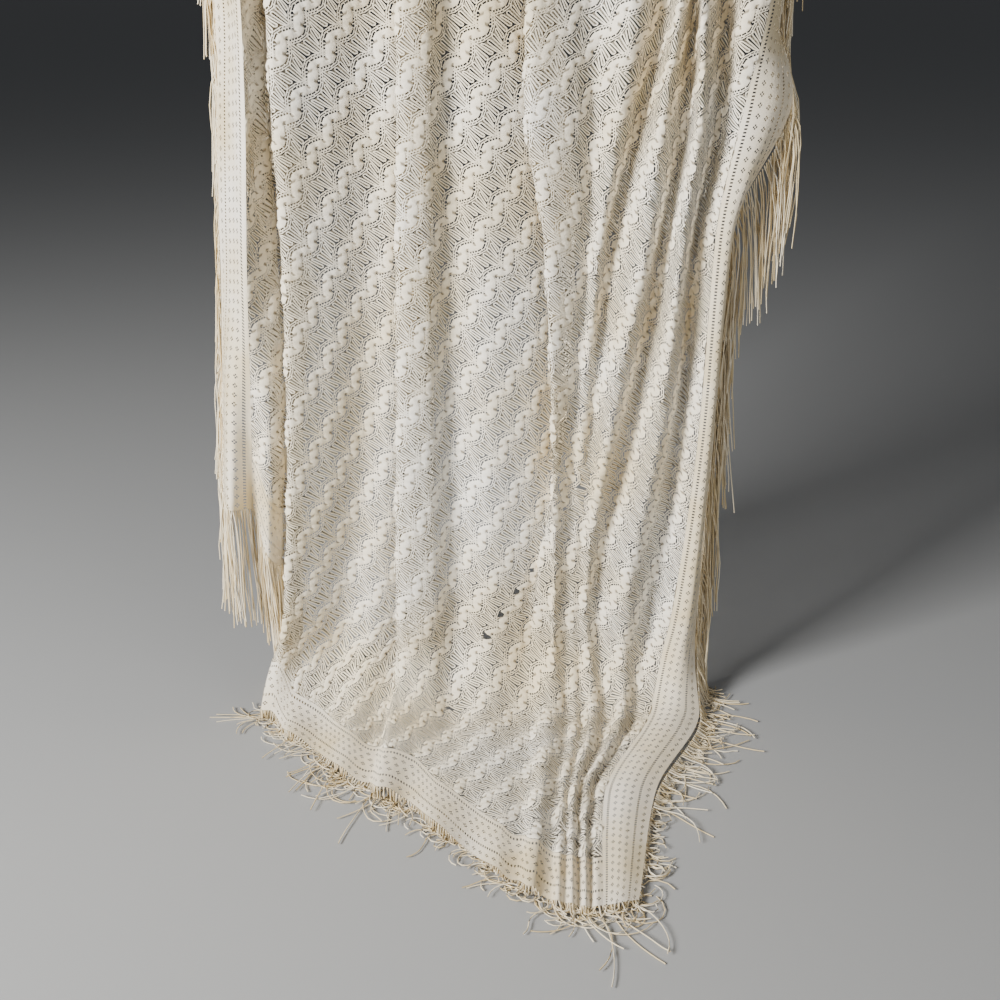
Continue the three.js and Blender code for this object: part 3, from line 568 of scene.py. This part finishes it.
# The borders
# Woven rayon bands sewn on all round, with two ladders of drawn threads and small diamonds of
# four holes in slanting rows. The chart is one repeat, from the seam to the outer edge.
CHART = [
    "###..####.###########.#####..###########",
    "########.#.#######################.#####",
    "###..####.#####.###########..####.#.####",
    "##############.#.#################.#####",
    "###..##########.#####.#####..###########",
    "####################.#.#################",
]
CELL_MM = 1.4
chart = np.array([[mark == "#" for mark in row] for row in CHART])
border_material, tree, shader = new_material("woven rayon border")
place_on = node(tree, "ShaderNodeTexCoord")
weave = node(tree, "ShaderNodeTexWave", [("Vector", place_on.outputs["UV"])], Scale=420.0, Distortion=1.0)
patches = node(tree, "ShaderNodeTexNoise", [("Vector", place_on.outputs["Object"])], Scale=12.0, Detail=4.0)
tree.links.new(ramp(tree, patches.outputs["Fac"], [(0.32, "#DFCDA6"), (0.5, "#EFE2C8"), (0.68, "#F5ECDB")]),
               shader.inputs["Base Color"])
relief = node(tree, "ShaderNodeBump", [("Height", weave.outputs["Fac"])], Strength=0.4, Distance=0.0003)
tree.links.new(relief.outputs["Normal"], shader.inputs["Normal"])
shader.inputs["Roughness"].default_value = 0.65


def chart_quads(rows, columns):
    """The quads of a grid of rows and columns of points, without the holes of the chart."""
    r, c = np.meshgrid(np.arange(rows - 1), np.arange(columns - 1), indexing="ij")
    solid = chart[r % len(CHART), c]
    base = (r * columns + c)[solid]
    return np.stack([base, base + 1, base + columns + 1, base + columns], axis=-1)


width = np.linspace(0, 1, len(CHART[0]) + 1)


def band_flat(points, rows, length):
    """A band's length and its mean width as it lies on the folds, holes and all, in mm."""
    grid = points.reshape(rows, -1, 3) * 1000
    cells = np.cross(grid[1:, :-1] - grid[:-1, :-1], grid[:-1, 1:] - grid[:-1, :-1])
    return length, np.linalg.norm(cells, axis=-1).sum() / length


def side_border(name, seam, edge, node_name):
    """A long band and its flat size."""
    first, last = np.interp(edge, Q, top_drop), np.interp(edge, Q, hem_drop)
    rows = int((last - first) / CELL_MM) + 1
    share = np.linspace(0, 1, rows)[:, None]
    q = seam + (edge - seam) * width[None] + 0 * share
    for _ in range(2):
        low, high = np.interp(q, Q, top_drop), np.interp(q, Q, hem_drop)
        drop = low + share * (high - low)
        s = np.stack([grid_value(arc, np.full(rows, float(x)), drop[:, 0])[:, 0] for x in (seam, edge)])
        flat = s[0][:, None] + (s[1] - s[0])[:, None] * width
        q = column_at(flat.ravel(), drop.ravel()).reshape(rows, -1)
    points = place(q.ravel(), drop.ravel())
    uv = np.stack(np.broadcast_arrays(width * BORDER_MM, share * (last - first)), axis=-1).reshape(-1, 2)
    piece = mesh_piece(name, points, chart_quads(rows, len(width)), uv / 1000, border_material)
    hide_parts(node_name)
    return piece, band_flat(points, rows, last - first)


def end_border(name, hem, toward_seam, node_name):
    """A short band and its flat size."""
    mid = hem + toward_seam * BORDER_MM / 2
    on_hem = grid_value(surface, Q, mid)
    run = np.concatenate([[0], np.cumsum(np.linalg.norm(np.diff(on_hem, axis=0), axis=1))])
    inside = (Q >= LEFT_SEAM) & (Q <= RIGHT_SEAM)
    start, stop = run[inside][0], run[inside][-1]
    rows = int((stop - start) / CELL_MM) + 1
    q = np.interp(np.linspace(start, stop, rows), run, Q)[:, None] + 0 * width
    drop = np.interp(q, Q, hem) + toward_seam * BORDER_MM * (1 - width)
    uv = np.stack([0 * q + width * BORDER_MM, np.linspace(start, stop, rows)[:, None] + 0 * q], axis=-1)
    points = place(q.ravel(), drop.ravel())
    piece = mesh_piece(name, points, chart_quads(rows, len(width)), uv.reshape(-1, 2) / 1000, border_material)
    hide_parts(node_name)
    return piece, band_flat(points, rows, stop - start)


band_left = side_border("band_left", LEFT_SEAM, 0, "border_left")
band_right = side_border("band_right", RIGHT_SEAM, LAST, "border_right")
band_bottom = end_border("band_bottom", hem_drop, -1, "border_bottom")
band_top = end_border("band_top", top_drop, 1, "border_top")


# The fringe
# Silky rayon cords, in pairs 3 mm apart along the borders' outer edges, up to 118 mm long. They
# hang in loose bunches, and those that reach the floor curl on it.
FRINGE_MM = 118.0
FLOOR_MM = -FLOOR_DROP_MM
STRAND_MM = 0.55
PAIR_PITCH, PAIR_HALF = 3.0, 0.35           # from pair to pair, and from a strand to its pair's middle
BUNCH = 12                                  # strands that sway together
FLOOR_GAP = 0.3
fringe_material, tree, shader = new_material("rayon fringe")
place_on = node(tree, "ShaderNodeTexCoord")
uv = node(tree, "ShaderNodeSeparateXYZ", [("Vector", place_on.outputs["UV"])])
tree.links.new(ramp(tree, uv.outputs["Y"], [(0.0, "#D6BE8C"), (0.5, "#EAD9B5"), (1.0, "#F3E8D0")]),
               shader.inputs["Base Color"])
twist = node(tree, "ShaderNodeTexNoise", [("Vector", place_on.outputs["Object"])], Scale=600.0, Detail=2.0)
relief = node(tree, "ShaderNodeBump", [("Height", twist.outputs["Fac"])], Strength=0.3, Distance=0.0002)
tree.links.new(relief.outputs["Normal"], shader.inputs["Normal"])
shader.inputs["Roughness"].default_value = 0.38


def tubes(paths, radius):
    """Three-sided tubes along paths, an array (strand, point, xyz) in mm."""
    ahead = np.gradient(paths, axis=1)
    ahead /= np.maximum(np.linalg.norm(ahead, axis=-1, keepdims=True), 1e-9)
    side = np.cross(ahead, [0.3, 0.95, 0.1])
    side /= np.maximum(np.linalg.norm(side, axis=-1, keepdims=True), 1e-9)
    up = np.cross(ahead, side)
    rings = []
    for k in range(3):
        angle = 2 * math.pi * k / 3
        rings.append(paths + radius * (math.cos(angle) * side + math.sin(angle) * up))
    points = np.stack(rings, axis=2)
    strands, length = paths.shape[:2]
    base = (np.arange(strands)[:, None] * length + np.arange(length - 1))[..., None] * 3
    k, n = np.arange(3), (np.arange(3) + 1) % 3
    quads = np.stack([base + k, base + n, base + 3 + n, base + 3 + k], axis=-1).reshape(-1, 4)
    return points.reshape(-1, 3), quads


def fringe(name, roots, away, node_name, reach, curl, points_each=8):
    """Strands from roots. away is how each one first leaves the edge, reach its way on the floor."""
    strands = len(roots)
    share = np.linspace(0, 1, points_each)[None, :, None]
    length = FRINGE_MM * rng.uniform(0.8, 1.0, (strands, 1, 1))
    marks = np.arange(0, strands + 2 * BUNCH, BUNCH)
    bunch = np.stack([np.interp(np.arange(strands), marks, rng.normal(0, 5, len(marks)))
                      for _ in range(3)], axis=-1)
    sway = (bunch[:, None] + rng.normal(0, 2.0, (strands, 1, 3))) * share**1.4
    wave = rng.normal(0, 1, (strands, 1, 3)) * np.sin(math.pi * share * rng.uniform(1, 3, (strands, 1, 1)))
    paths = roots[:, None] + away[:, None] * (1 - np.exp(-share * 6)) + sway + wave
    paths[..., 2] = roots[:, None, 2] - (length * share)[..., 0] * 0.98
    floor = FLOOR_MM + STRAND_MM + FLOOR_GAP
    below = np.maximum(floor - paths[..., 2], 0)[..., None]
    bend = rng.normal(0, curl, (strands, 1, 1)) + 1e-4
    forward, aside = np.sin(bend * below) / bend, (1 - np.cos(bend * below)) / bend
    beside = np.stack([-reach[:, 1], reach[:, 0], 0 * reach[:, 0]], axis=-1)
    paths = paths + reach[:, None] * forward + beside[:, None] * aside
    paths[..., 2] = np.maximum(paths[..., 2], floor + rng.uniform(0, 3, (strands, 1)) * (below[..., 0] > 0))
    points, quads = tubes(paths, STRAND_MM)
    uv = np.stack([np.tile(np.repeat(share[0, :, 0], 3), strands),
                   np.repeat(rng.uniform(0, 1, strands), points_each * 3)], axis=-1)
    piece = mesh_piece(name, points / 1000, quads, uv, fringe_material)
    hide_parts(node_name)
    return piece


def edge_roots(q, drop):
    """Evenly spaced places along an edge given by columns and drops, in pairs."""
    line = grid_value(surface, q, drop)
    run = np.concatenate([[0], np.cumsum(np.linalg.norm(np.diff(line, axis=0), axis=1))])
    pairs = np.arange(PAIR_PITCH / 2, run[-1], PAIR_PITCH)
    roots = np.sort(np.concatenate([pairs - PAIR_HALF, pairs + PAIR_HALF]))
    return np.interp(roots, run, q), np.interp(roots, run, drop)


def heading_to(degrees, share):
    """Unit steps on the floor at angles from straight forward to the right, times a share."""
    turned = np.radians(degrees)
    return np.stack([np.sin(turned), -np.cos(turned), 0 * turned], axis=-1) * np.reshape(share, (-1, 1))


drops = np.arange(np.interp(0, Q, top_drop), np.interp(0, Q, hem_drop), 4.0)
q, drop = edge_roots(np.zeros(len(drops)), drops)
roots = grid_value(surface, q, drop)
away = np.stack([-rng.uniform(1, 7, len(q)), rng.uniform(2, 14, len(q)), np.zeros(len(q))], axis=-1)
fringe("tassels_left", roots, away, "fringe_left", heading_to(rng.uniform(-90, 0, len(q)), 0.5), 0.03)

drops = np.arange(np.interp(LAST, Q, top_drop), np.interp(LAST, Q, hem_drop), 4.0)
q, drop = edge_roots(np.full(len(drops), float(LAST)), drops)
roots = grid_value(surface, q, drop)
away = np.stack([rng.uniform(1, 13, len(q)), rng.uniform(-4, 6, len(q)), np.zeros(len(q))], axis=-1)
# Along the low right edge the strands are tucked under the cloth, as far as the corner.
tucked = (roots[:, 1] < -215) & (roots[:, 1] > -330)
way = np.where(tucked, -100, rng.uniform(20, 110, len(q)))
fringe("tassels_right", roots, away, "fringe_right",
       heading_to(way, np.where(tucked, 0.4, rng.uniform(0.1, 0.55, len(q)))), 0.04)

q, drop = edge_roots(Q, hem_drop)
roots = grid_value(surface, q, drop)
# It shows in tangles left of the middle and at the corner, and is tucked under between them.
x = roots[:, 0]
tucked = (x > -70) & (x < 34) & (rng.uniform(0, 1, len(x)) < 0.93)
way = np.interp(x, [-230, -150, -90, 30, 60, 110], [-70, -40, -25, -20, 10, 70]) + rng.normal(0, 28, len(x))
way = np.where(tucked, 180 + rng.normal(0, 20, len(x)), way)
share = rng.uniform(0.2, 1, len(x)) * np.interp(
    x, [-230, -170, -120, -80, 30, 70, 110], [0.5, 0.4, 0.8, 0.4, 0.5, 0.8, 0.8])
fringe("tassels_bottom", roots, rng.normal(0, 1.5, (len(q), 3)), "fringe_bottom",
       heading_to(way, np.where(tucked, 0.4, share)), 0.055, 10)

q, drop = edge_roots(Q, top_drop)
roots = grid_value(surface, q, drop)
away = np.stack([rng.normal(0, 1.5, len(q)), rng.uniform(2, 9, len(q)), np.zeros(len(q))], axis=-1)
fringe("tassels_top", roots, away, "fringe_top", heading_to(np.full(len(q), 180.0), 0.5), 0.03)


# The studio
# A plain pale floor, soft light from the front and left, and the photo's viewpoint.
floor_mesh = bpy.data.meshes.new("floor")
floor_mesh.from_pydata([(-60, -20, 0), (60, -20, 0), (60, 90, 0), (-60, 90, 0)], [], [(0, 1, 2, 3)])
floor = bpy.data.objects.new("floor", floor_mesh)
bpy.context.scene.collection.objects.link(floor)
floor.location.z = -FLOOR_DROP_MM / 1000
floor_material, tree, shader = new_material("floor")
shader.inputs["Base Color"].default_value = linear("#9C9C9B")
shader.inputs["Roughness"].default_value = 0.85
floor.data.materials.append(floor_material)

world = bpy.data.worlds.new("world")
world.use_nodes = True
world.node_tree.nodes["Background"].inputs["Color"].default_value = linear("#C8CCD2")
world.node_tree.nodes["Background"].inputs["Strength"].default_value = 0.14
bpy.context.scene.world = world


def lamp(name, location, target, size, power):
    """A square lamp that faces target."""
    light = bpy.data.lights.new(name, "AREA")
    light.size = size
    light.energy = power
    lamp_object = bpy.data.objects.new(name, light)
    bpy.context.scene.collection.objects.link(lamp_object)
    lamp_object.location = location
    way = np.array(target) - np.array(location)
    yaw, tilt = math.atan2(way[0], way[1]), math.atan2(way[2], math.hypot(way[0], way[1]))
    lamp_object.rotation_euler = (math.pi / 2 + tilt, 0, -yaw)


lamp("key", (-1.5, -1.4, -0.05), (0, -0.1, -0.7), 0.7, 116)
lamp("fill", (1.3, -1.5, -0.2), (0, -0.1, -0.7), 1.2, 10)

camera = bpy.data.objects.new("camera", bpy.data.cameras.new("camera"))
bpy.context.scene.collection.objects.link(camera)
LOOKING_DOWN, FIELD = math.radians(22), math.radians(42)
camera.location = (0, -1.117, -0.505)
camera.rotation_euler = (math.pi / 2 - LOOKING_DOWN, 0, 0)
camera.data.angle = FIELD
bpy.context.scene.camera = camera
